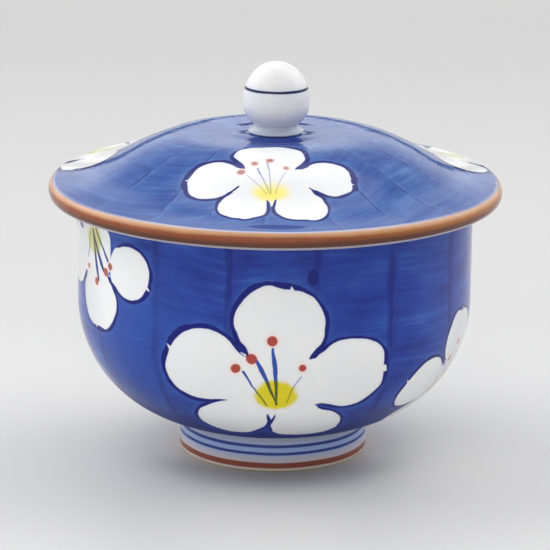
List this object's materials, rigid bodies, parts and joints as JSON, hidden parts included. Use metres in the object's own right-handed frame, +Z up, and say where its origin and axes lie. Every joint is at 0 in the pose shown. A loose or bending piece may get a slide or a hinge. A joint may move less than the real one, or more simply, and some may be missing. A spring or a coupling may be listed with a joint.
{
  "type": "lidded teacup",
  "caption": "Round-bellied porcelain teacup on a foot ring, with a loose domed lid that lifts off by its knob; blue ground with plum blossoms.",
  "frame": {"origin": "on the table under the middle of the foot ring", "axes": "+Z up along the cup's axis of revolution; -Y faces the front blossom"},
  "size_m": [0.104, 0.104, 0.0909],
  "materials": {
    "cup_glaze": "glossy clear glaze over brushed cobalt blue with white plum blossoms, white inside",
    "foot_glaze": "glossy white glaze with blue lines and an iron-brown band, bare porcelain edge",
    "lid_glaze": "glossy clear glaze over brushed cobalt blue with white plum blossoms, iron-brown rim, white underneath",
    "flange_glaze": "glossy white glaze",
    "knob_glaze": "glossy white glaze with a thin blue line"
  },
  "bodies": {
    "cup": {"cup_body": "cup_glaze", "foot_ring": "foot_glaze"},
    "lid": {"lid_shell": "lid_glaze", "lid_flange": "flange_glaze", "lid_knob": "knob_glaze"}
  },
  "joints": [
    {"name": "lid_lift", "type": "slide", "parent": "cup", "child": "lid", "axis": [0, 0, 1], "range_m": [0, 0.08]}
  ]
}
